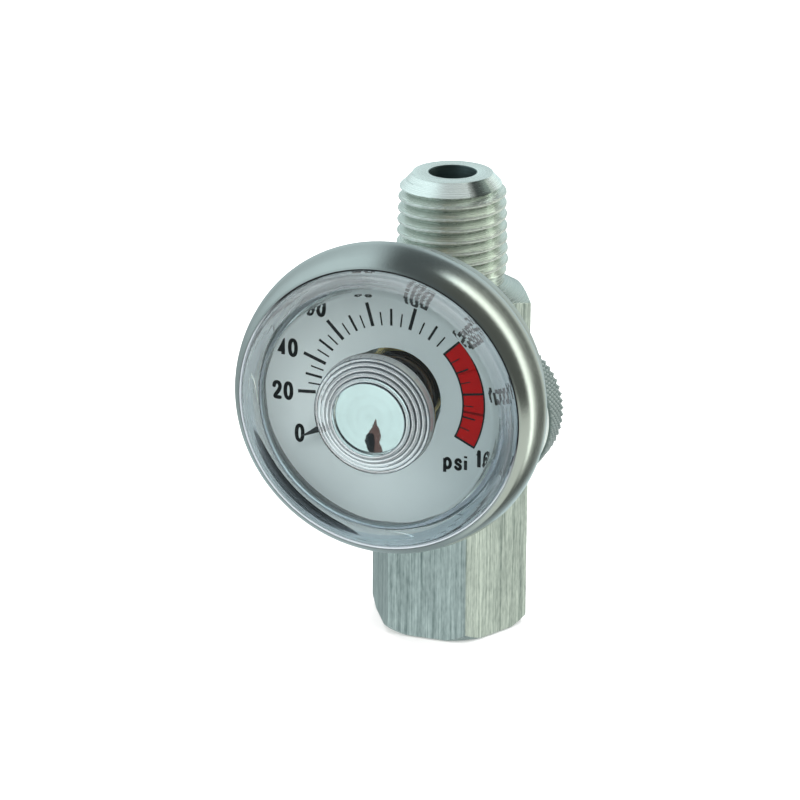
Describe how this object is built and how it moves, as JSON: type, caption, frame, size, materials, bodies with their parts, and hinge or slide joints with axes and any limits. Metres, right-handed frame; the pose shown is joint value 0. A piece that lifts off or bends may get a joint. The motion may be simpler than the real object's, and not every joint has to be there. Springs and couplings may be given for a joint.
{
  "type": "inline gas pressure regulator",
  "caption": "Small inline gas regulator: hexagonal body, threaded port below, threaded nipple above, clear-faced pressure gauge in front and knurled adjusting knob behind.",
  "frame": {"origin": "centre of the inlet port's mouth, on the body's bottom face", "axes": "+Z along the gas path from the inlet port up to the outlet nipple, -Y toward the gauge's face, +Y toward the adjusting knob"},
  "size_m": [0.0376, 0.0502, 0.0573],
  "materials": {
    "body_aluminium": "extruded bar with lengthwise draw lines, turned ends and threads",
    "knob_aluminium": "diamond knurled rim, matte, turned faces",
    "stainless": "satin drawn sheet",
    "steel": "plain turned steel",
    "brass": "turned brass",
    "bronze": "drawn phosphor bronze tube",
    "clear_plastic": "clear moulded plastic, polished",
    "mirror_disc": "bright plated disc",
    "dial_paint": "white enamel with black and red print",
    "pointer_black": "matte black paint",
    "rubber": "moulded nitrile rubber",
    "gasket_fibre": "pressed fibre sheet",
    "white_plastic": "moulded white plastic",
    "seat_plastic": "turned fluoropolymer"
  },
  "bodies": {
    "valve": {"valve_body": "body_aluminium", "valve_seat": "seat_plastic", "bonnet": "brass", "bonnet_gasket": "gasket_fibre", "stem_oring": "rubber", "gauge_seal": "gasket_fibre", "gauge_socket": "brass", "gauge_restrictor": "brass", "case_washer": "gasket_fibre", "gauge_case": "stainless", "case_nut": "brass", "gauge_bezel": "stainless", "lens_gasket": "rubber", "gauge_lens": "clear_plastic", "centre_mirror": "mirror_disc", "dial_plate": "dial_paint", "zero_stop_pin": "steel", "dial_spacer": "white_plastic", "arbor_bushing": "brass", "coil_anchor": "brass", "bourdon_coil": "bronze"},
    "needle": {"valve_needle": "brass"},
    "knob": {"valve_stem": "steel", "adjusting_knob": "knob_aluminium", "knob_washer": "steel", "knob_screw": "steel"},
    "pointer": {"pointer_arbor": "steel", "coil_link": "brass", "pointer_blade": "pointer_black", "pointer_hub": "brass"}
  },
  "joints": [
    {"name": "needle_travel", "type": "slide", "parent": "valve", "child": "needle", "axis": [0, 1, 0], "range_m": [-0.0008, 0.0016]},
    {"name": "knob_turn", "type": "hinge", "parent": "needle", "child": "knob", "pos_m": [0, 0.0145, 0.022], "axis": [0, 1, 0], "range_deg": [-360, 720]},
    {"name": "pointer_swing", "type": "hinge", "parent": "valve", "child": "pointer", "pos_m": [0, -0.0229, 0.0363], "axis": [0, 1, 0], "range_deg": [0, 240], "stiffness_Nm_per_rad": 0.0005, "springref_deg": -5.73}
  ],
  "couplings": [
    {"joint": "needle_travel", "follows": "knob_turn", "m_per_rad": 0.00012732}
  ]
}
